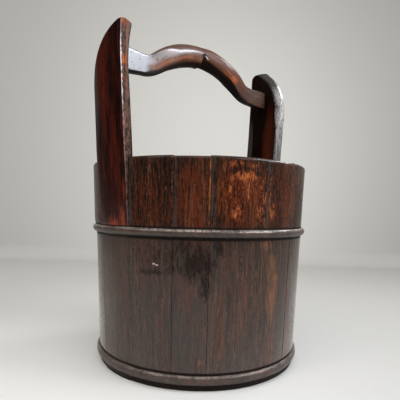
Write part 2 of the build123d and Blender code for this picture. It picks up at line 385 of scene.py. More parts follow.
# marks on the wall: angle round the bucket, height in mm, half width in degrees, half height in mm, strength
wallMarks = {
    "worn": [
        (240.3, 219.0, 4.0, 6.0, 0.75), (244.6, 220.0, 3.2, 5.0, 0.7), (250.5, 219.0, 4.0, 6.0, 0.75),
        (246.5, 208.5, 10.0, 8.0, 1.2), (239.8, 198.0, 1.2, 20.0, 0.95), (248.1, 196.0, 1.2, 20.0, 0.95),
        (242.5, 172.5, 4.0, 9.0, 1.15), (254.0, 172.5, 3.2, 9.0, 1.15), (261.7, 171.0, 2.6, 14.0, 0.95),
        (279.0, 178.0, 3.0, 20.0, 0.55), (284.0, 206.0, 4.5, 20.0, 0.5), (265.0, 88.0, 6.5, 40.0, 1.15),
        (260.0, 141.0, 7.0, 10.0, 0.95), (263.0, 118.0, 5.0, 30.0, 0.95), (228.3, 28.0, 4.0, 5.0, 0.8),
        (246.0, 192.0, 15.0, 40.0, 0.42), (230.9, 205.0, 0.55, 22.0, 1.3), (214.6, 200.0, 0.4, 30.0, 0.8),
        (257.5, 200.0, 0.4, 24.0, 0.9), (257.5, 190.0, 5.5, 36.0, 0.75), (257.0, 90.0, 12.0, 70.0, 0.5),
        (92.0, 205.0, 12.0, 28.0, 0.75), (52.0, 190.0, 9.0, 34.0, 0.65), (128.0, 176.0, 10.0, 26.0, 0.65),
        (318.0, 200.0, 11.0, 30.0, 0.75), (110.0, 90.0, 8.0, 38.0, 0.6), (300.0, 60.0, 7.0, 34.0, 0.6),
        (30.0, 120.0, 9.0, 26.0, 0.6),
    ],
    "red": [
        (222.5, 180.0, 11.0, 46.0, 0.75), (245.0, 190.0, 16.0, 44.0, 0.8), (224.0, 141.0, 9.0, 8.0, 0.8),
        (229.5, 130.0, 2.5, 24.0, 0.6), (203.0, 175.0, 12.0, 40.0, 0.5), (272.0, 190.0, 14.0, 44.0, 0.55),
        (211.0, 70.0, 2.2, 50.0, 0.6), (221.0, 95.0, 8.0, 30.0, 0.7), (202.0, 120.0, 8.0, 34.0, 0.55),
        (226.0, 60.0, 5.0, 50.0, 0.5), (214.0, 130.0, 5.0, 20.0, 0.6), (100.0, 185.0, 22.0, 42.0, 0.7),
        (40.0, 190.0, 20.0, 44.0, 0.7), (320.0, 185.0, 20.0, 44.0, 0.7), (150.0, 185.0, 18.0, 44.0, 0.7),
    ],
    "dark": [
        (222.0, 138.0, 9.0, 12.0, 0.55), (226.5, 123.0, 10.0, 24.0, 0.8), (229.5, 104.0, 4.0, 20.0, 0.6),
        (218.0, 117.0, 12.0, 7.0, 0.5), (206.0, 113.0, 11.0, 5.0, 0.5), (213.0, 129.0, 20.0, 22.0, 0.4),
        (247.0, 214.0, 1.6, 4.0, 0.9), (253.0, 211.0, 2.6, 3.5, 0.9), (241.0, 212.0, 1.8, 3.0, 0.9),
        (236.0, 138.0, 6.0, 14.0, 0.45), (288.0, 190.0, 12.0, 44.0, 0.3),
    ],
    "chip": [(206.2, 121.2, 0.9, 1.0, 1.2), (207.6, 120.2, 1.0, 0.8, 1.2)],
}


def lowWood(bench, s, grain, up):  # below the middle hoop: greyer wood with a soft shine
    stripe, fibre, hair, speck, broad = (grain[name] for name in ("stripe", "fibre", "hair", "speck", "broad"))
    tone = stripe * 0.6 + fibre * 0.8 + hair * 1.1 + broad
    ruddy = bench.smooth(stripe * 1.8 + broad * 0.8 + hair * 0.5, 0.06, 0.42)
    crack = bench.smooth(abs(fibre), 0.022, 0.004) * bench.smooth(broad, -0.1, 0.1)
    wood = bench.blend(bench.smooth(tone, -0.34, 0.38), s["soot"], s["plum"])
    wood = bench.coats(wood, s, ((ruddy * 0.5, "red"), (crack * 0.7, "ink")))
    sheen = stripe * 0.7 + fibre * 0.6 + speck * 0.7 - broad * 1.2
    sheen = bench.smooth(sheen - ruddy * 0.15, -0.5, 0.5)
    return wood, (0.53 + 0.42 * sheen) * (1.40 - up * 0.0047) * (1.0 - 0.5 * crack)


def staveMaterial(s, marks):
    material, bench = newMaterial("stave_lacquer")
    tone, edge = bench.stored("staveTone"), bench.stored("edgeDistance") * perMetre
    fromStart, fromEnd = bench.stored("startDistance") * perMetre, bench.stored("endDistance") * perMetre
    grain, up = woodGrain(bench, tone)
    fibre, hair, mottle, speck, broad = (grain[name] for name in ("fibre", "hair", "mottle", "speck", "broad"))
    turn = wallTurn(bench)
    upper = bench.smooth(up, *s["upperFrom"])
    lower = 1.0 - upper
    fine = fibre * 1.6 + hair * 1.9 + speck * 0.8
    high = bench.blend(bench.smooth(fine + broad + tone * 0.2, -0.38, 0.55), s["ink"], s["brown"])
    low, sheen = lowWood(bench, s, grain, up)
    redness = bench.smooth(strongestMark(bench, turn, up, marks["red"]) * 0.8 + fine, 0.05, 0.8)
    worn = strongestMark(bench, turn, up, marks["worn"])
    field = worn * 0.62 + mottle * 3.0 + speck * 1.7 + hair
    kept = bench.smooth(fromStart, *s["keptEdge"]) * upper  # lacquer left along one edge of each stave
    exposed = (1.0 - 0.8 * kept) * upper
    wear = bench.smooth(field, 0.30, 0.70) * exposed
    rubbed = worn * 0.75 + fibre * 2.2 + hair * 1.8 + mottle * 0.9
    streaks = bench.smooth(rubbed, 0.30, 1.05) * lower
    ridge = bench.smooth(abs(grain["line"]), 0.026, 0.006) * bench.smooth(broad + speck * 0.8, -0.08, 0.12)
    hairline = bench.smooth(abs(hair), 0.016, 0.0) * bench.smooth(mottle + broad, 0.02, 0.2)
    rubbedEdge = bench.smooth(fromEnd, *s["rubbedEdge"]) * bench.smooth(mottle + tone * 0.1, 0.0, 0.12)
    smudge = strongestMark(bench, turn, up, marks["dark"]) + mottle * 2.0 + fibre * 1.4 + speck * 1.6
    smudge = bench.smooth(smudge, 0.1, 0.75)
    seam = bench.smooth(edge, *s["seamEdge"])
    # painted shade: dark bands beside the hoops and a dark foot, painted into the colour and dulling the gloss
    hoopShadeBands = paintedShadeBands(bench, up, s["darkJointsAndShade"], s["shadeBandFade"])
    chip = bench.smooth(strongestMark(bench, turn, up, marks["chip"]), 0.1, 0.6)
    wood = bench.coats(bench.blend(upper, low, high), s, (
        (redness * (0.34 + 0.51 * upper), "red"),
        (wear * 0.75, "rust"),
        (bench.smooth(field, 0.58, 0.95) * exposed * 0.85, "worn"),
        (streaks * 0.8, "tan"),
        (bench.smooth(rubbed, 0.85, 1.4) * lower * 0.6, "worn"),
        (kept * bench.smooth(fibre + mottle, -0.2, 0.1) * 0.6, "grey"),
        (ridge * (0.4 - 0.05 * upper), "line"),
        (hairline * (0.1 + 0.5 * upper), "worn"),
        (rubbedEdge * (0.15 + 0.55 * upper), "worn"),
        (smudge * 0.85, "ink"),
        (bench.smooth(speck, -0.06, -0.16) * 0.7, "ink"),
        (seam * (0.3 + 0.3 * upper), "ink"),
        (hoopShadeBands * 0.9, "ink"),
        (chip, "pale"),
    ))
    # seams are dark joints; the hoop bands joined with them are painted shade
    darkJointsAndShade = bench.larger(seam * 0.5, hoopShadeBands)
    rim = bench.smooth(up, *s["rimFrom"])
    rough = 0.24 + 0.7 * speck + 0.18 * wear + 0.12 * rim
    rough = bench.larger(rough + 0.25 * smudge + 0.3 * darkJointsAndShade, 0.12)
    gloss = sheen * lower * (1.0 - 0.9 * smudge) * (1.0 - 0.5 * streaks) * (1.0 - darkJointsAndShade)
    gloss = gloss + rim * bench.smooth(speck + mottle, -0.25, 0.1) * 0.35
    gloss = gloss * (1.05 + 0.2 * bench.smooth(turn, *s["glossFrom"]) * bench.smooth(turn, *s["glossTo"]))
    height = fibre * 0.6 + hair * 0.4 + speck * 0.7 + mottle * 0.5 - wear * 0.3 - chip * 0.6 + ridge * 0.3
    finishMaterial(bench, {"Base Color": wood, "Roughness": rough, "Coat Weight": gloss, "Coat Roughness": 0.17,
                           "Coat Tint": s["warmth"], "Specular IOR Level": 0.09}, height, 0.35, 0.4)
    return material


# staves, by Geometry Nodes: one tree, a plain mesh for each stave
staveShape = {
    "columns": 33, "rows": 97, "layers": 4, "seamGap": 0.05, "corner": 0.4, "rimRound": 3.0, "footRound": 1.5,
    "ripple": 0.5, "waveRound": 9.0, "waveUp": 22.0, "waveShift": 7.3, "seed": 11, "toneStep": 0.618,
    "frontShares": (22.6, 16.4, 26.7, 19.6, 24.0, 22.2, 23.9),
    "backShares": (21.5, 25.0, 20.0, 26.0, 19.5, 24.4, 23.0),
    "rimSteps": (0.2, -0.5, 0.3, -0.2, 0.4, -0.4, 0.1), "proudSteps": (0.05, -0.1, 0.12, -0.05, 0.1, -0.08, 0.03),
    "endProud": 2.0, "proudFrom": 150.0, "proudFull": 162.0,
}
earAngles = {"left": (181.15, 11.18), "right": (358.85, 11.83)}  # middle and half angle of each ear, degrees


def newTree(name, inputs):
    tree = bpy.data.node_groups.new(name, "GeometryNodeTree")
    tree.interface.new_socket("Geometry", in_out="OUTPUT", socket_type="NodeSocketGeometry")
    for title in inputs:
        tree.interface.new_socket(title, in_out="INPUT", socket_type="NodeSocketFloat")
    tree.interface.new_socket("Material", in_out="INPUT", socket_type="NodeSocketMaterial")
    bench = Bench(tree)
    group = tree.nodes.new("NodeGroupInput")
    return bench, {socket.name: Wire(bench, socket) for socket in group.outputs if socket.name}


def storeNumbers(bench, geometry, numbers):  # read off the straight grid, so stored before it is bent
    for name, value in numbers.items():
        geometry = bench.add("GeometryNodeStoreNamedAttribute", {"data_type": "FLOAT", "domain": "POINT"},
                             {"Geometry": geometry, "Name": name, "Value": value})
    return geometry


def finishTree(bench, geometry, material):
    real = bench.add("GeometryNodeRealizeInstances", None, {"Geometry": geometry})
    painted = bench.add("GeometryNodeSetMaterial", None, {"Geometry": real, "Material": material})
    bench.add("NodeGroupOutput", None, {0: painted}, None)
    return bench.tree


def staveTree(s):
    bench, given = newTree("stave_tree", (
        "Start", "End", "Foot Radius", "Rim Radius", "Height", "Thickness", "Corner", "Rim Round", "Foot Round",
        "Ripple", "Proud", "Upper Proud", "Tone", "Seed"))
    block = bench.add("GeometryNodeMeshCube", None, {"Vertices X": s["columns"], "Vertices Y": s["layers"],
                                                     "Vertices Z": s["rows"]})
    x, y, z = bench.parts(bench.add("GeometryNodeInputPosition"))
    across = 0.5 + 0.5 * bench.maths("SINE", x * pi)  # points gather towards the edges
    up = 0.5 + 0.5 * bench.maths("SINE", z * pi)
    through = y + 0.5
    height = up * given["Height"]
    swept = given["End"] - given["Start"]
    angle = given["Start"] + across * swept
    above = bench.smooth(height, s["proudFrom"] * mm, s["proudFull"] * mm)
    outer = given["Foot Radius"] + (given["Rim Radius"] - given["Foot Radius"]) * up
    outer = outer + given["Proud"] + above * given["Upper Proud"]
    inner = outer - given["Thickness"]

    def drop(distance, radius):
        inside = bench.larger(radius - distance, 0.0)
        return radius - bench.maths("SQRT", bench.larger(radius * radius - inside * inside, 0.0))

    toSeam = bench.maths("MINIMUM", across, 1.0 - across) * swept * outer
    toRim = given["Height"] - height
    fall = bench.larger(drop(toSeam, given["Corner"]), drop(toRim, given["Rim Round"]),
                        drop(height, given["Foot Round"]))
    room = bench.vector(angle * s["waveRound"] + given["Seed"] * s["waveShift"], height * s["waveUp"], given["Seed"])
    wave = bench.noise(room, 1.0, 2.0) - 0.5
    outer = outer - fall + wave * given["Ripple"]
    radius = (inner + fall) * (1.0 - through) + outer * through
    place = bench.vector(radius * bench.maths("COSINE", angle), radius * bench.maths("SINE", angle), height)
    marked = storeNumbers(bench, block, {
        "edgeDistance": bench.maths("MINIMUM", toSeam, toRim), "startDistance": across * swept * outer,
        "endDistance": (1.0 - across) * swept * outer, "staveTone": given["Tone"]})
    shaped = bench.add("GeometryNodeSetPosition", None, {"Geometry": marked, "Position": place})
    return finishTree(bench, shaped, given["Material"])


def meshFromTree(name, tree, values):
    holder = bpy.data.objects.new(name + "_holder", bpy.data.meshes.new(name + "_blank"))
    scene.collection.objects.link(holder)
    modifier = holder.modifiers.new("nodes", "NODES")
    modifier.node_group = tree
    for item in tree.interface.items_tree:
        if item.in_out == "INPUT":
            modifier[item.identifier] = values[item.name]
    bpy.context.view_layer.update()
    evaluated = holder.evaluated_get(bpy.context.evaluated_depsgraph_get())
    mesh = bpy.data.meshes.new_from_object(evaluated)
    mesh.name = name
    holder.modifiers.remove(modifier)
    bpy.data.objects.remove(holder)
    return mesh


def sideSeams(start, end, shares):
    unit = (end - start) / sum(shares)
    return [start + unit * sum(shares[:k]) for k in range(len(shares) + 1)]


def addStaves(s, material):
    tree = staveTree(s)
    left, right = earAngles["left"], earAngles["right"]
    front = sideSeams(left[0] + left[1], right[0] - right[1], s["frontShares"])
    back = sideSeams(right[0] + right[1], left[0] - left[1] + 360.0, s["backShares"])
    gap = s["seamGap"] / 2 / bucket["rimRadius"]
    for side, seams in (("front", front), ("back", back)):
        for k in range(len(seams) - 1):
            last = side == "back" and k == len(seams) - 2
            number = k + (len(s["frontShares"]) if side == "back" else 0)
            values = {
                "Start": radians(seams[k]) + gap, "End": radians(seams[k + 1]) - gap,
                "Foot Radius": bucket["footRadius"] * mm, "Rim Radius": bucket["rimRadius"] * mm,
                "Height": (bucket["wallHeight"] + s["rimSteps"][k]) * mm,
                "Thickness": bucket["wallThickness"] * mm, "Corner": s["corner"] * mm,
                "Rim Round": s["rimRound"] * mm, "Foot Round": s["footRound"] * mm,
                "Ripple": s["ripple"] * mm, "Proud": s["proudSteps"][k] * mm,
                "Upper Proud": s["endProud"] * mm if last else 0.0,
                "Tone": (number * s["toneStep"]) % 1.0, "Seed": float(s["seed"] + number), "Material": material,
            }
            node = f"{side}_stave_{k + 1}"
            addPiece(node, meshFromTree(node + "_shown", tree, values))


addStaves(staveShape, staveMaterial(lacquerLook, wallMarks))
print("staves raised")


# hoops, by Geometry Nodes: a half-round band laid on the tapered wall
hoopShape = {
    "middle_hoop": {"low": 147.4, "width": 8.6, "proud": 4.0, "uneven": 0.7, "seed": 3.0},
    "lower_hoop": {"low": 5.6, "width": 9.6, "proud": 3.2, "uneven": 1.1, "seed": 8.0},
    "columns": 481, "points": 21, "backShare": 0.25, "clearance": 0.05, "weld": 0.01,
    "swayRound": 6.0, "swayUp": 0.35, "fineRound": 42.0, "fineUp": 1.4, "proudSway": 0.35, "lipSway": 0.4,
}
hoopLook = {
    "dark": colour(0.012, 0.009, 0.008), "iron": colour(0.088, 0.057, 0.047), "rust": colour(0.15, 0.055, 0.026),
    "wornTopAndHighlight": colour(0.38, 0.325, 0.30), "shade": colour(0.048, 0.034, 0.029),
    "upperHoop": (50.0, 100.0), "topFrom": (0.66, 0.84), "undersideShadeFrom": (0.30, 0.08),
}


def hoopTree(s):
    bench, given = newTree("hoop_tree", ("Low Radius", "High Radius", "Low", "Width", "Proud", "Uneven", "Seed"))
    sheet = bench.add("GeometryNodeMeshGrid", None, {"Vertices X": s["columns"], "Vertices Y": s["points"]})
    x, y = bench.parts(bench.add("GeometryNodeInputPosition"))[:2]
    angle = x * (2 * pi)
    section = (y + 0.5) * ((1 + s["backShare"]) * pi)  # the round front, then back along the wall
    front = bench.maths("LESS_THAN", section, pi + 0.001)
    back = (section - pi) / (s["backShare"] * pi)
    up = front * (0.5 - 0.5 * bench.maths("COSINE", section)) + (1.0 - front) * (1.0 - back)
    belly = front * bench.larger(bench.maths("SINE", section), 0.0)
    turnX, turnY = bench.maths("COSINE", angle), bench.maths("SINE", angle)
    room = bench.vector(turnX * s["swayRound"], turnY * s["swayRound"], given["Seed"] + up * s["swayUp"])
    sway = bench.noise(room, 1.0, 2.0) - 0.5
    room = bench.vector(turnX * s["fineRound"], turnY * s["fineRound"], given["Seed"] + up * s["fineUp"])
    fine = bench.noise(room, 1.0, 3.0) - 0.5
    lip = up * (1.0 - up) * 4.0
    radius = given["Low Radius"] + (given["High Radius"] - given["Low Radius"]) * up
    radius = radius + belly * given["Proud"] * (1.0 + s["proudSway"] * sway) + belly * given["Uneven"] * fine
    height = given["Low"] + given["Width"] * up + given["Uneven"] * sway * (1.0 + s["lipSway"] * lip)
    place = bench.vector(radius * turnX, radius * turnY, height)
    marked = storeNumbers(bench, sheet, {"bandRise": up})
    shaped = bench.add("GeometryNodeSetPosition", None, {"Geometry": marked, "Position": place})
    closed = bench.add("GeometryNodeMergeByDistance", None, {"Geometry": shaped, "Distance": s["weld"] * mm})
    return finishTree(bench, closed, given["Material"])


def hoopMaterial(s):
    material, bench = newMaterial("hoop_iron")
    place, rise = bench.place(), bench.stored("bandRise")
    pits = bench.noise(place, 620.0, 3.0, 0.7) - 0.5
    cloud = bench.noise(place, 60.0, 4.0, 0.7, 0.3) - 0.5
    rust = bench.noise(place, 260.0, 4.0, 0.7, 0.3) - 0.5
    high = bench.smooth(bench.parts(place)[2] * perMetre, *s["upperHoop"])
    # partly worn metal, partly painted highlight: the top of each band is painted paler, more so on the upper hoop
    topWearAndHighlightMask = bench.smooth(rise, *s["topFrom"]) * bench.smooth(pits + cloud * 0.8, -0.12, 0.1) * (0.3 + 0.4 * high)
    metal = bench.blend(bench.smooth(cloud + rust * 0.8, -0.2, 0.2), s["shade"], s["iron"])
    metal = bench.coats(metal, s, (
        (bench.smooth(rust + cloud * 0.6, 0.06, 0.2) * 0.7, "rust"),
        (topWearAndHighlightMask, "wornTopAndHighlight"),
        (bench.smooth(pits, -0.07, -0.17) * 0.85, "dark"),
        # painted shade: the lower edge of each band is painted dark
        (bench.smooth(rise, *s["undersideShadeFrom"]), "dark"),
    ))
    rough = bench.larger(0.36 - 0.1 * topWearAndHighlightMask + 0.5 * rust, 0.2)
    finishMaterial(bench, {"Base Color": metal, "Roughness": rough, "Metallic": 0.25 + 0.35 * topWearAndHighlightMask,
                           "Specular IOR Level": 0.5}, pits * 0.8 + rust * 0.5, 0.5, 0.6)
    return material


def facesOut(mesh):
    shell = bmesh.new()
    shell.from_mesh(mesh)
    bmesh.ops.recalc_face_normals(shell, faces=shell.faces)
    shell.to_mesh(mesh)
    shell.free()


def addHoops(s, material):
    tree = hoopTree(s)
    for node in ("middle_hoop", "lower_hoop"):
        band = s[node]
        values = {
            "Low Radius": (wallRadius(band["low"]) + s["clearance"]) * mm,
            "High Radius": (wallRadius(band["low"] + band["width"]) + s["clearance"]) * mm,
            "Low": band["low"] * mm, "Width": band["width"] * mm, "Proud": band["proud"] * mm,
            "Uneven": band["uneven"] * mm, "Seed": band["seed"], "Material": material,
        }
        mesh = meshFromTree(node + "_shown", tree, values)
        facesOut(mesh)
        addPiece(node, mesh)


addHoops(hoopShape, hoopMaterial(hoopLook))
print("hoops driven on")


# a closed block of quads; place(i, j, k) gives each point of its skin
def blockMesh(name, columns, rows, layers, place):
    verts, spots = [], {}
    for i in range(columns):
        for j in range(rows):
            for k in range(layers):
                if i in (0, columns - 1) or j in (0, rows - 1) or k in (0, layers - 1):
                    spots[i, j, k] = len(verts)
                    verts.append(place(i, j, k))
    faces = []
    for k in (0, layers - 1):
        for i in range(columns - 1):
            for j in range(rows - 1):
                faces.append([spots[i, j, k], spots[i + 1, j, k], spots[i + 1, j + 1, k], spots[i, j + 1, k]])
    for i in (0, columns - 1):
        for j in range(rows - 1):
            for k in range(layers - 1):
                faces.append([spots[i, j, k], spots[i, j + 1, k], spots[i, j + 1, k + 1], spots[i, j, k + 1]])
    for j in (0, rows - 1):
        for i in range(columns - 1):
            for k in range(layers - 1):
                faces.append([spots[i, j, k], spots[i + 1, j, k], spots[i + 1, j, k + 1], spots[i, j, k + 1]])
    mesh = bpy.data.meshes.new(name)
    mesh.from_pydata([Vector(v) * mm for v in verts], [], faces)
    facesOut(mesh)
    return mesh, spots


# ear staves: one straight edge at the larger angle, one rounded shoulder
earShape = {
    "ledgeHeight": 156.05, "ledge": 1.6, "proud": 5.1, "thickness": 12.5, "leanOut": 0.092, "leanIn": 0.102,
    "curlHeight": 45.0, "columns": 41, "lowRows": 26, "highRows": 130, "layers": 9, "arris": 0.4, "ripple": 0.3,
    "rowStep": 0.3, "rowPower": 1.6, "aboveRim": 1.0, "sideProud": 0.6, "sideOver": 9.0, "roundOver": 8.0,
    "topBelow": 12.0, "topOver": 30.0, "domeDepth": 9.0, "probe": 0.5, "wornShare": 0.5, "wornWave": 0.05,
    "rippleAcross": 0.05, "rippleUp": 0.025, "lineFade": 0.28, "lineAt": 0.25, "lineSharp": 4.0, "bandGrow": 1.6,
    "left": {"crown": 361.5, "drop": 64.5, "flat": 3.0, "bulge": 13.8, "width": 22.5, "curlOut": 1.9,
             "curlIn": -3.1, "corner": 1.6, "dome": 3.0, "innerRound": 0.4, "topRound": 0.4, "seed": 2.0},
    "right": {"crown": 389.0, "drop": 84.0, "flat": 22.3, "bulge": 12.0, "width": 29.0, "curlOut": 3.4,
              "curlIn": 3.7, "corner": 8.0, "dome": 1.2, "innerRound": 2.6, "topRound": 6.5, "seed": 6.0},
}


def earOuter(s, ear, z):
    rim = bucket["wallHeight"]
    if z <= s["ledgeHeight"]:
        return wallRadius(z)
    if z < rim:
        share = (z - s["ledgeHeight"]) / (rim - s["ledgeHeight"])
        low = wallRadius(s["ledgeHeight"]) + s["ledge"]
        return low + (bucket["rimRadius"] + s["proud"] - low) * share
    start = ear["crown"] - s["curlHeight"]
    straight = bucket["rimRadius"] + s["proud"] + s["leanOut"] * (z - rim)
    share = max(z - start, 0.0) / s["curlHeight"]
    return straight + (ear["curlOut"] - s["leanOut"] * s["curlHeight"]) * share * share


def earInner(s, ear, z):
    rim = bucket["wallHeight"]
    hoop = hoopShape["middle_hoop"]["low"]
    atRim = bucket["rimRadius"] + s["proud"] - s["thickness"]
    if z <= hoop:
        return wallRadius(z) - bucket["wallThickness"]
    if z < rim:
        low = wallRadius(hoop) - bucket["wallThickness"]
        return low + (atRim - low) * (z - hoop) / (rim - hoop)
    start = ear["crown"] - s["curlHeight"]
    share = max(z - start, 0.0) / s["curlHeight"]
    return atRim + s["leanIn"] * (z - rim) + (ear["curlIn"] - s["leanIn"] * s["curlHeight"]) * share * share


def shoulderEdge(s, ear, halfAngle, radius, z):  # distance of the shoulder side from the ear's middle
    rim = bucket["wallHeight"]
    plain = radius * sin(radians(halfAngle))
    if z <= rim:
        return plain
    shoulder = ear["crown"] - ear["drop"]
    atRim = (bucket["rimRadius"] + s["proud"]) * sin(radians(halfAngle))
    if z <= shoulder:
        return min(plain, atRim + (ear["width"] - atRim) * (z - rim) / (shoulder - rim))
    lean = s["leanOut"] * (ear["crown"] - rim) / (bucket["rimRadius"] + s["proud"])
    crest = ear["flat"] - atRim * (1 + lean)  # seen with the shoulder side positive
    chord = Vector((crest - ear["width"], ear["drop"]))
    size = (chord.length_squared / 4 + ear["bulge"] ** 2) / (2 * ear["bulge"])
    outward = Vector((chord.y, -chord.x)).normalized()
    middle = Vector((ear["width"], shoulder)) + chord / 2 - outward * (size - ear["bulge"])
    return min(plain, middle.x + sqrt(max(size * size - (z - middle.y) ** 2, 0.0)))


def earPiece(side, s, material):
    ear = s[side]
    centre, halfAngle = earAngles[side]
    columns, layers, start = s["columns"], s["layers"], s["ledgeHeight"] + s["rowStep"]
    rows = [s["ledgeHeight"] * k / s["lowRows"] for k in range(s["lowRows"] + 1)]
    for k in range(s["highRows"] + 1):
        rows.append(start + (ear["crown"] - start) * (1 - (1 - k / s["highRows"]) ** s["rowPower"]))
    rounded = {}  # 1 on the shoulder's arris, 0 where its rounding ends

    def place(i, j, k):
        z = rows[j]
        aboveRim = z - bucket["wallHeight"] - s["aboveRim"]
        across = 0.5 - 0.5 * cos(pi * i / (columns - 1))  # 0 at the shoulder side
        through = k / (layers - 1)
        outer, inner = earOuter(s, ear, z), earInner(s, ear, z)
        middle = inner + (outer - inner) * through
        straight = middle * sin(radians(halfAngle))
        turn = max(z - (ear["crown"] - ear["corner"]), 0.0)
        straight -= ear["corner"] - sqrt(max(ear["corner"] ** 2 - turn * turn, 0.0))
        shoulder = -shoulderEdge(s, ear, halfAngle, middle, z) - eased(0.0, s["sideProud"], aboveRim / s["sideOver"])
        steep = -shoulderEdge(s, ear, halfAngle, middle, min(z + s["probe"], ear["crown"])) - shoulder
        q = shoulder + (straight - shoulder) * across
        toShoulder = (q - shoulder) / sqrt(1 + (steep / s["probe"]) ** 2)
        toEdge = min(straight - q, toShoulder, ear["crown"] - z)
        worn = 1.0 + s["wornShare"] * noise.noise(Vector((z * s["wornWave"], ear["seed"], across)))
        fall = roundedDrop(toEdge, s["arris"] * worn)
        room = Vector((q * s["rippleAcross"], z * s["rippleUp"], ear["seed"] + through))
        wave = s["ripple"] * noise.noise(room)
        rounding = eased(s["arris"], ear["innerRound"], aboveRim / s["roundOver"])
        aboveShoulder = z - ear["crown"] + ear["drop"] + s["topBelow"]
        rounding += eased(0.0, ear["topRound"] - ear["innerRound"], aboveShoulder / s["topOver"])
        innerFall = max(fall, roundedDrop(toShoulder, rounding))
        radius = (inner + innerFall) * (1 - through) + (outer - fall) * through + wave
        rounded[i, j, k] = max(1.0 - toShoulder / rounding, 0.0)
        angle = radians(centre) + asin(q / radius)
        crownShare = max(z - ear["crown"] + s["domeDepth"], 0.0) / s["domeDepth"]
        lift = ear["dome"] * 4 * through * (1 - through) * crownShare * crownShare
        return radius * cos(angle), radius * sin(angle), z + lift

    node = side + "_ear_stave"
    mesh, spots = blockMesh(node + "_shown", columns, len(rows), layers, place)
    sides = (0, columns - 1)
    if side == "left":  # the painted highlight runs along the outer arris on the left, the inner one on the right
        arris = [(i in sides) * max(1.0 - s["lineFade"] * (layers - 1 - k) ** 2, 0.0) for i, j, k in spots]
    else:
        arris = [max(1.0 - abs(rounded[spot] - s["lineAt"]) * s["lineSharp"], 0.0) * (spot[2] == 0) for spot in spots]
    markMesh(mesh, {
        "sideFace": [1.0 if i in sides and 0 < k < layers - 1 else
                     min(rounded[i, j, k] * s["bandGrow"], 1.0) * (k == 0) for i, j, k in spots],
        "innerFace": [1.0 - k / (layers - 1) for i, j, k in spots],
        "arrisHighlight": arris,
    })
    mesh.materials.append(material)
    addPiece(node, mesh)


# marks on the ears: place along x for worn and along y for the rest, height, half sizes, all in mm, then strength
earMarks = {
    "worn": [(-146.0, 364.0, 18.0, 16.0, 1.0), (-136.0, 322.0, 7.0, 9.0, 0.9), (-138.0, 304.0, 8.0, 6.0, 0.75)],
    "glow": [(-6.0, 157.0, 17.0, 13.0, 0.8), (-21.0, 163.0, 8.0, 20.0, 0.7), (-25.0, 192.0, 2.5, 18.0, 0.7)],
    "streak": [(-14.0, 262.0, 15.0, 90.0, 1.0)], "paintedSheen": [(19.0, 300.0, 13.0, 80.0, 1.0)],
    "grey": [(21.0, 268.0, 7.0, 58.0, 1.2)],
}


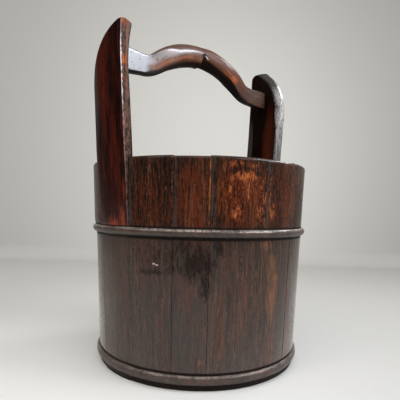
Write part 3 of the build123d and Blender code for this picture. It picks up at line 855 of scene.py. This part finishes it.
def earMaterial(s, marks):
    material, bench = newMaterial("ear_lacquer")
    inner, arris = bench.stored("innerFace"), bench.stored("arrisHighlight")
    band = bench.smooth(bench.stored("sideFace"), 0.3, 0.9)
    grain, up = woodGrain(bench, s["grainShift"])
    fibre, hair, mottle, speck, broad = (grain[name] for name in ("fibre", "hair", "mottle", "speck", "broad"))
    x, y = bench.parts(bench.place())[:2]
    along, deep = x * perMetre, y * perMetre
    rightEar = bench.smooth(along, *s["rightFrom"])
    upper = bench.smooth(up, *s["upperFrom"])
    leftOuter, rightInner = (1.0 - rightEar) * (1.0 - inner), rightEar * inner
    plain, sheen = lowWood(bench, s, grain, up)
    faces = bench.smooth(grain["stripe"] * 1.3 + fibre * 0.9 + hair * 0.5 + broad * 1.2, -0.28, 0.48)
    wood = bench.blend(upper, plain, bench.blend(faces, s["black"], s["cherry"]))
    streak = strongestMark(bench, deep, up, marks["streak"]) * rightInner
    glow = strongestMark(bench, deep, up, marks["glow"]) * leftOuter * upper
    # painted reflection: a grey sheen painted on the far part of the left ear's outer face
    paintedSheen = strongestMark(bench, deep, up, marks["paintedSheen"]) * leftOuter
    # painted highlight: a grey strip painted on the right ear's inner face near its far edge
    side = strongestMark(bench, deep, up, marks["grey"]) * rightInner
    wood = bench.coats(wood, s, (
        # painted shade: the inner faces above the rim are painted nearly black
        (inner * 0.94 * upper, "black"),
        (bench.smooth(streak + fibre * 1.6 + hair * 0.8, 0.1, 1.4) * 0.85 * upper, "red"),
        (bench.smooth(glow + fibre * 1.4 + hair * 1.4 + mottle * 1.4, 0.25, 1.15), "ember"),
        (bench.smooth(paintedSheen + fibre * 0.6, 0.1, 1.2) * 0.7, "grey"),
        (bench.smooth(side + fibre * 0.5, 0.1, 0.8) * 0.8, "grey"),
    ))
    pattern = bench.smooth(mottle * 1.7 + speck * 1.8 + fibre * 1.4 - (s["litFrom"][1] - up) * 0.0010, -0.28, 0.24)
    worn = bench.blend(pattern, s["umber"], s["mauve"])
    # partly worn grey wood, partly painted highlight: the right ear's shoulder band is painted pale where it catches
    # the light and darker towards its tip
    tip = bench.smooth(up, *s["tipFrom"])
    lit = bench.smooth(up, *s["litFrom"]) * (1.0 - 0.8 * tip)
    wornGreyAndHighlight = bench.smooth(speck * 1.2 + fibre + hair * 0.6, -0.4, 0.4) * (0.32 + 0.68 * lit) * (1.0 - 0.85 * tip)
    wornGreyAndHighlight = bench.blend(wornGreyAndHighlight, s["slate"], s["wornGreyAndHighlight"])
    wood = bench.blend(band, wood, bench.blend(rightEar * upper, worn, wornGreyAndHighlight))
    field = strongestMark(bench, along, up, marks["worn"]) + mottle * 1.2 + speck * 1.2 + fibre * 0.8
    field = field * (1.0 - 0.8 * rightEar) * upper * band
    # painted highlight: a broken pale line along an arris of each ear, fainter on the right ear
    line = bench.smooth(arris + mottle * 1.8 + speck * 1.8, 0.62, 0.9) * bench.smooth(arris, 0.25, 0.6)
    line = line * (0.15 + 0.85 * bench.smooth(up, *s["lineFrom"])) * upper * bench.smooth(up, *s["lineTo"])
    # painted shade: dark bands beside the hoops and a dark foot on the ear's lower part
    darkJointsAndShade = paintedShadeBands(bench, up, s["darkJointsAndShade"][:3], s["shadeBandFade"])
    wood = bench.coats(wood, s, (
        (bench.smooth(field, 0.20, 0.75) * 0.8, "rust"),
        (bench.smooth(field, 0.60, 1.1) * 0.8, "worn"),
        (line * (1.0 - 0.7 * rightEar) * 0.9, "highlightWhite"),
        (darkJointsAndShade * 0.9 * (1.0 - upper), "ink"),
    ))
    rough = bench.larger(0.30 + 0.35 * speck + band * (0.30 - 0.24 * rightEar), 0.14)
    height = fibre * 0.4 + hair * 0.2 + (speck * 0.8 + mottle * 0.6) * (0.3 + 0.6 * band * (1.0 - 0.7 * rightEar))
    shine = (1.0 - band) * (1.0 - inner) * 0.26 + band * rightEar * 0.6 * lit
    shine = sheen * (1.0 - darkJointsAndShade) * (1.0 - upper) + shine * upper
    finishMaterial(bench, {"Base Color": wood, "Roughness": rough, "Coat Weight": shine, "Coat Roughness": 0.2,
                           "Coat Tint": s["warmth"], "Specular IOR Level": 0.08}, height, 0.4, 0.45)
    return material


earLook = dict(lacquerLook, black=colour(0.006, 0.0022, 0.0015), cherry=colour(0.080, 0.010, 0.0045),
               mauve=colour(0.165, 0.080, 0.057), umber=colour(0.016, 0.009, 0.006), slate=colour(0.032, 0.027, 0.022),
               wornGreyAndHighlight=colour(0.56, 0.555, 0.57), ember=colour(0.24, 0.036, 0.006), grainShift=3.1,
               upperFrom=(140.0, 158.0), rightFrom=(-10.0, 10.0), tipFrom=(350.0, 370.0), litFrom=(240.0, 330.0),
               lineFrom=(250.0, 308.0), lineTo=(352.0, 338.0))
earFinish = earMaterial(earLook, earMarks)
earPiece("left", earShape, earFinish)
earPiece("right", earShape, earFinish)
print("ears set")


# carved handle: a bowed bar, flat at its ends and round at the grip, with a crease in the middle
handleShape = {
    "axisHeight": 339.1, "rise": 30.7, "archReach": 95.2, "bendRadius": 35.0, "turn": 1.7, "tilt": 2.0,
    "endHeight": 24.6, "endThickness": 9.2, "neckHeight": 20.6, "neckInset": 6.5, "blockReach": 121.8,
    "gripHeight": 25.6, "gripThickness": 18.8, "endSquare": 12.0, "gripSquare": 2.5, "gripHalf": 43.0,
    "halfLength": 136.0, "stations": 170, "ringPoints": 84, "ripple": 0.3, "rippleScale": 0.06,
    "creaseAt": -6.0, "creaseLean": 4.0, "leanWide": 16.0, "creaseLow": 0.4, "creaseHigh": 0.7, "creaseWide": 13.0,
    "creaseSteps": (-0.6, -0.01, 0.01, 0.6), "creaseClear": 0.9,
    "sag": 1.7, "sagRight": 1.02, "sagFrom": 60.0, "sagOver": 30.0,
    "fullTop": 2.3, "fullFrom": -14.0, "fullOver": 40.0, "fullTo": 88.0, "fullFade": 22.0,
    "facetDepth": 3.4, "facetThin": 1.3, "facetTurn": 48.0, "facetFrom": 35.0, "facetTo": 95.0, "facetGrow": 1.6,
}


def handleAxis(s, x):
    arch = (s["archReach"] ** 2 + s["rise"] ** 2) / (2 * s["rise"]) - s["bendRadius"]
    reach, side = abs(x), 1 if x > 0 else -1
    if reach < s["archReach"] * arch / (arch + s["bendRadius"]):
        return s["rise"] - arch + sqrt(arch * arch - reach * reach), -side * asin(reach / arch)
    if reach < s["archReach"]:
        left = s["archReach"] - reach
        return s["bendRadius"] - sqrt(s["bendRadius"] ** 2 - left * left), -side * asin(left / s["bendRadius"])
    return 0.0, 0.0


def handleSection(s, x):  # squared at the ends, oval at the grip, flat below the crease's right side
    neck = s["archReach"] - s["neckInset"]
    grip = (neck - abs(x)) / (neck - s["gripHalf"])
    thick = eased(s["endThickness"], s["gripThickness"], grip) / 2
    square = 2 / eased(s["endSquare"], s["gripSquare"], grip)
    if abs(x) < neck:
        height = eased(s["neckHeight"], s["gripHeight"], grip) / 2
    else:
        height = eased(s["neckHeight"], s["endHeight"], (abs(x) - neck) / (s["blockReach"] - neck)) / 2
    past = x - s["creaseAt"]
    swell = exp(-(past / s["creaseWide"]) ** 2)
    bottom = height + (s["sag"] + s["creaseLow"] * swell if past < 0 else -s["creaseHigh"] * swell)
    bottom += eased(0.0, s["sagRight"], (x - s["sagFrom"]) / s["sagOver"])
    full = eased(0.0, s["fullTop"], (x - s["fullFrom"]) / s["fullOver"])
    full = height + full * eased(1.0, 0.0, (x - s["fullTo"]) / s["fullFade"])
    facing = radians(s["facetTurn"])
    across, down = -cos(facing), -sin(facing)
    depth = 0.0
    if past > 0:
        depth = eased(s["facetDepth"], s["facetThin"], past / s["facetFrom"])
        depth *= eased(1.0, 0.0, (x - s["facetFrom"]) / (s["facetTo"] - s["facetFrom"]))
    ring = []
    for k in range(s["ringPoints"]):
        turn = 2 * pi * k / s["ringPoints"]
        c, n = cos(turn), sin(turn)
        p = thick * abs(c) ** square * (1 if c > 0 else -1)
        q = (full if n > 0 else bottom) * abs(n) ** square * (1 if n > 0 else -1)
        ring.append([p, q, p / thick, q / height, 0.0])
    reach = max(point[0] * across + point[1] * down for point in ring) - depth
    for point in ring:
        over = point[0] * across + point[1] * down - reach
        if depth > 0 and over > 0:
            point[0] -= over * across
            point[1] -= over * down
            point[4] = min(over / depth * s["facetGrow"], 1.0)
    return ring


def addHandle(s, material):
    spots = {s["creaseAt"] + step for step in s["creaseSteps"]}
    for k in range(s["stations"] + 1):
        x = -s["halfLength"] + 2 * s["halfLength"] * k / s["stations"]
        if abs(x - s["creaseAt"]) > s["creaseClear"]:
            spots.add(x)
    verts, faces, marks = [], [], []
    stations = sorted(spots)
    placed = Matrix.Translation((0, 0, s["axisHeight"])) @ Matrix.Rotation(radians(s["turn"]), 4, "Z")
    placed = placed @ Matrix.Rotation(radians(-s["tilt"]), 4, "Y")
    for x in stations:
        rise, slope = handleAxis(s, x)
        for across, up, out, high, flat in handleSection(s, x):
            marks.append((out, high, flat))
            lean = s["creaseLean"] * high * exp(-((x - s["creaseAt"]) / s["leanWide"]) ** 2)
            point = Vector((x + lean - sin(slope) * up, across, rise + cos(slope) * up))
            wave = s["ripple"] * noise.noise(point * s["rippleScale"])
            point += Vector((0, across, up)).normalized() * wave
            verts.append(placed @ point * mm)
    ring = len(verts) // len(stations)
    for j in range(len(stations) - 1):
        for i in range(ring):
            a, b = j * ring + i, j * ring + (i + 1) % ring
            faces.append((a, b, b + ring, a + ring))
    faces.append(tuple(range(ring)))
    faces.append(tuple(range(len(verts) - ring, len(verts))))
    mesh = bpy.data.meshes.new("carved_handle_shown")
    mesh.from_pydata(verts, [], faces)
    facesOut(mesh)
    markMesh(mesh, dict(zip(("sectionOut", "sectionUp", "facet"), zip(*marks))))
    mesh.materials.append(material)
    addPiece("carved_handle", mesh)


def handleMaterial(s):
    material, bench = newMaterial("handle_lacquer")
    x, y, z = bench.parts(bench.place())
    along, across, up = x * perMetre, y * perMetre, z * perMetre
    out, high, flat = bench.stored("sectionOut"), bench.stored("sectionUp"), bench.stored("facet")

    def pattern(drawn, scale, detail, rough):  # follows the bow, since the section's own places are read
        place = bench.vector(along * drawn, out * s["halfThick"], high * s["halfHigh"])
        return bench.noise(place, scale, detail, rough, 0.2) - 0.5

    fibre, mottle, speck = (pattern(*s[name]) for name in ("fibre", "mottle", "speck"))
    right, front = bench.smooth(along, *s["rightFrom"]), bench.smooth(out, 0.0, -0.3)
    blocks = bench.smooth(abs(along), *s["blockFrom"])
    bar = 1.0 - blocks
    lowFront = bench.smooth(high, 0.2, -0.3) * bench.smooth(out, 0.2, -0.3) * bar * (1.0 - right)
    ember = strongestMark(bench, along, up, s["embers"]) * 0.8 + mottle * 0.8 + fibre * 2.6 + speck
    wood = bench.blend(bench.smooth(fibre * 1.2 + mottle * 0.6 + speck * 0.6, -0.35, 0.4), s["dusk"], s["mauve"])
    wood = bench.coats(wood, s, (
        (right * bar * 0.8, "cocoa"),
        (bench.smooth(along, *s["duskFrom"]) * bar * 0.5, "dusk"),
        (bench.smooth(fibre * 2.4 + speck * 0.8 + mottle * 0.6, 0.02, 0.48) * right * bar * 0.75, "rust"),
        (lowFront * bench.smooth(fibre * 2.2 + mottle * 0.8 + speck * 0.8, -0.45, 0.45), "tan"),
        (bench.smooth(ember, 0.25, 0.7) * 0.8, "rust"),
        (bench.smooth(ember, 0.55, 1.1) * 0.8, "worn"),
        # painted reflection: the left block and its neck take a bluish grey, the tint of the light they mirror
        (bench.smooth(along, *s["reflectionBlueFrom"]), "reflectionBlue"),
    ))
    stub = bench.blend(bench.smooth((fibre + mottle + speck) * 1.6, -0.45, 0.45), s["olive"], s["ash"])
    stub = bench.blend(bench.smooth(high + mottle * 1.6, -0.2, -0.9) * 0.7, stub, s["cocoa"])
    wood = bench.blend(bench.smooth(along + fibre * 14.0, *s["stubFrom"]) * 0.85, wood, stub)
    # painted shade: the underside, the flat below the crease and the notch at the crease are painted nearly black
    under = bench.smooth(high, -0.40 - 0.52 * blocks, -0.86 - 0.11 * blocks)
    shaded = bench.smooth(flat + mottle * 0.5 + fibre * 0.5, 0.1, 1.0)
    shaded = shaded * (1.0 - 0.75 * bench.smooth(along, *s["facetLit"]))
    notch = bench.smooth(markMask(bench, along, high, s["notch"]), 0.05, 0.6) * front
    under = bench.larger(under, shaded, notch)
    dots = bench.noise(bench.vector(along, across, up), 0.42, 1.0) - 0.5
    pits = bench.smooth(dots + speck * 0.4, 0.17, 0.21)
    # painted highlight: a pale tick painted up the front at the crease
    tick = bench.smooth(markMask(bench, along, high + along * 0.05, s["tick"]), 0.1, 0.5) * front
    wood = bench.coats(wood, s, (
        (bench.smooth(high, 0.93, 0.98) * blocks * 0.8, "ink"),
        (under * 0.97, "ink"),
        (pits * 0.8, "ink"),
        (tick * 0.75, "highlightWhite"),
    ))
    low = bench.smooth(high, 0.2, -0.35) * bar
    fade = 0.6 * bench.smooth(along, *s["fadeFrom"]) + 0.3 * bench.smooth(along, *s["dimFrom"])
    shine = bench.smooth(out, 0.0, -0.45) * (1.0 - under) * (1.0 - fade)
    shine = shine * (1.0 - pits) * (1.0 - low) * (0.75 + 0.25 * blocks)
    crest = bench.smooth(high, 0.45, 0.8)
    shine = bench.larger(shine, 0.16 * (1.0 - under) * (1.0 + right * (0.5 * crest - 0.4)))
    shine = shine * (1.0 - 0.5 * crest * bar)
    rough = bench.larger(0.5 + 0.3 * speck, 0.3)
    height = fibre * 0.5 + speck * 0.5 + mottle * 0.4 - pits * 0.4
    finishMaterial(bench, {"Base Color": wood, "Roughness": rough, "Coat Weight": shine, "Coat Roughness": 0.22,
                           "Coat IOR": 1.7, "Specular IOR Level": 0.06}, height, 0.25, 0.35)
    return material


handleLook = dict(lacquerLook, dusk=colour(0.050, 0.023, 0.016), mauve=colour(0.12, 0.053, 0.037),
                  tan=colour(0.29, 0.095, 0.034), cocoa=colour(0.090, 0.029, 0.014), reflectionBlue=colour(0.125, 0.13, 0.16),
                  olive=colour(0.044, 0.030, 0.022), ash=colour(0.110, 0.068, 0.054), halfThick=9.0, halfHigh=12.5,
                  fibre=(0.05, 0.5, 4.0, 0.7), mottle=(0.5, 0.16, 5.0, 0.75), speck=(0.7, 0.8, 3.0, 0.7),
                  rightFrom=(-16.0, 6.0), blockFrom=(84.0, 96.0), duskFrom=(56.0, 80.0), reflectionBlueFrom=(-78.0, -96.0),
                  stubFrom=(84.0, 98.0), facetLit=(18.0, 58.0), fadeFrom=(-34.0, -2.0), dimFrom=(46.0, 70.0),
                  notch=(-4.5, -0.05, 5.0, 0.42, 1.0), tick=(0.0, -0.10, 3.2, 0.07, 1.0),
                  embers=[(58.0, 356.0, 16.0, 8.0, 1.0), (42.0, 361.0, 12.0, 6.0, 0.8),
                          (-20.0, 353.0, 34.0, 4.0, 0.5)])
addHandle(handleShape, handleMaterial(handleLook))
print("handle housed")


# bottom boards and dowels keep their solids and get their finish here
plainLook = {
    "bottom_wood": {"dark": colour(0.055, 0.028, 0.016), "light": colour(0.15, 0.078, 0.043), "along": 0.04},
    "dowel_bamboo": {"dark": colour(0.30, 0.19, 0.09), "light": colour(0.48, 0.34, 0.17), "along": 0.1},
}


def plainMaterial(name, s):
    material, bench = newMaterial(name)
    x, y, z = bench.parts(bench.place())
    along, across = x * (perMetre * s["along"]), y * perMetre
    fibre = bench.noise(bench.vector(along, across, z * perMetre), 0.8, 4.0, 0.6, 0.3)
    ring = bench.noise(bench.vector(along, across, 0.0), 0.12, 3.0, 0.55, 1.2)
    wood = bench.blend(bench.smooth(ring * 0.6 + fibre * 0.4, 0.36, 0.66), s["dark"], s["light"])
    finishMaterial(bench, {"Base Color": wood, "Roughness": 0.5 + 0.2 * fibre}, fibre, 0.4, 0.3)
    return material


def dressNodes(material, names):
    for name in names:
        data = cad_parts[name].data
        data.materials.clear()
        data.materials.append(material)


dressNodes(plainMaterial("bottom_wood", plainLook["bottom_wood"]),
           [side + "_bottom_board" for side in ("front", "middle", "back")])
dressNodes(plainMaterial("dowel_bamboo", plainLook["dowel_bamboo"]),
           ["lower_stave_dowels", "upper_stave_dowels", "bottom_board_dowels"])
print("bottom and dowels finished")
